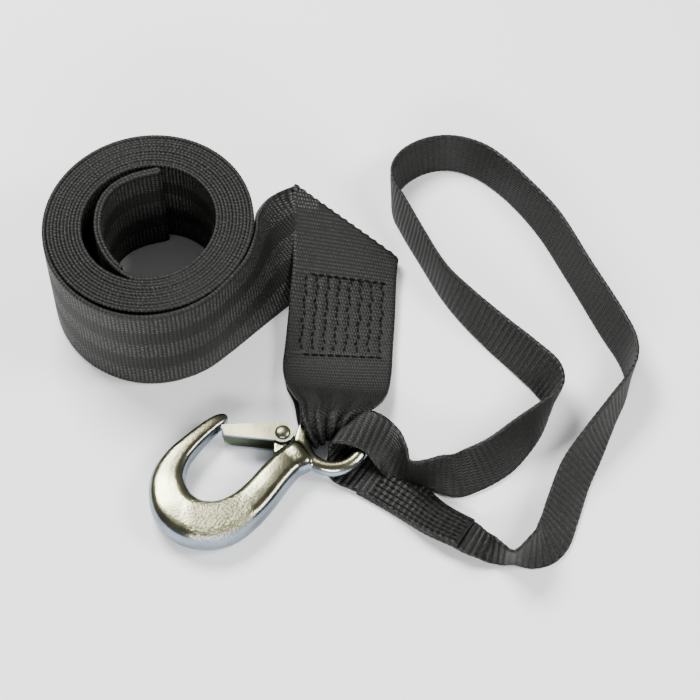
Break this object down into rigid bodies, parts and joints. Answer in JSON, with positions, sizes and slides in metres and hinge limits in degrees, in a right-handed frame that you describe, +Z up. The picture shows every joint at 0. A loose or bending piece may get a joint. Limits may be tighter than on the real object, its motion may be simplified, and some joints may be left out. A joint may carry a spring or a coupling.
{
  "type": "winch strap",
  "caption": "Coiled webbing winch strap with a folded sewn end gathered through the eye of a zinc-plated snap hook, and a narrow hand strap looped through the same eye.",
  "frame": {"origin": "middle of the bounding box's base, on the floor that the strap lies on", "axes": "+Z up, along the coil's axis; +X from the coil towards the hand strap; -Y towards the hook's bowl"},
  "size_m": [0.271, 0.237, 0.0502],
  "materials": {
    "webbing": "satin woven",
    "hand_webbing": "satin woven",
    "zinc": "bright zinc plate",
    "rivet_steel": "bright zinc plate"
  },
  "bodies": {
    "strap": {"winch_webbing": "webbing", "hand_strap": "hand_webbing", "hook": "zinc", "latch_rivet": "rivet_steel"},
    "latch": {"latch": "zinc", "latch_spring": "rivet_steel"}
  },
  "joints": [
    {"name": "latch_hinge", "type": "hinge", "parent": "strap", "child": "latch", "pos_m": [-0.02531, -0.05267, 0.00718], "axis": [0, 0, 1], "range_deg": [0, 35], "stiffness_Nm_per_rad": 0.05, "springref_deg": -20.05}
  ]
}
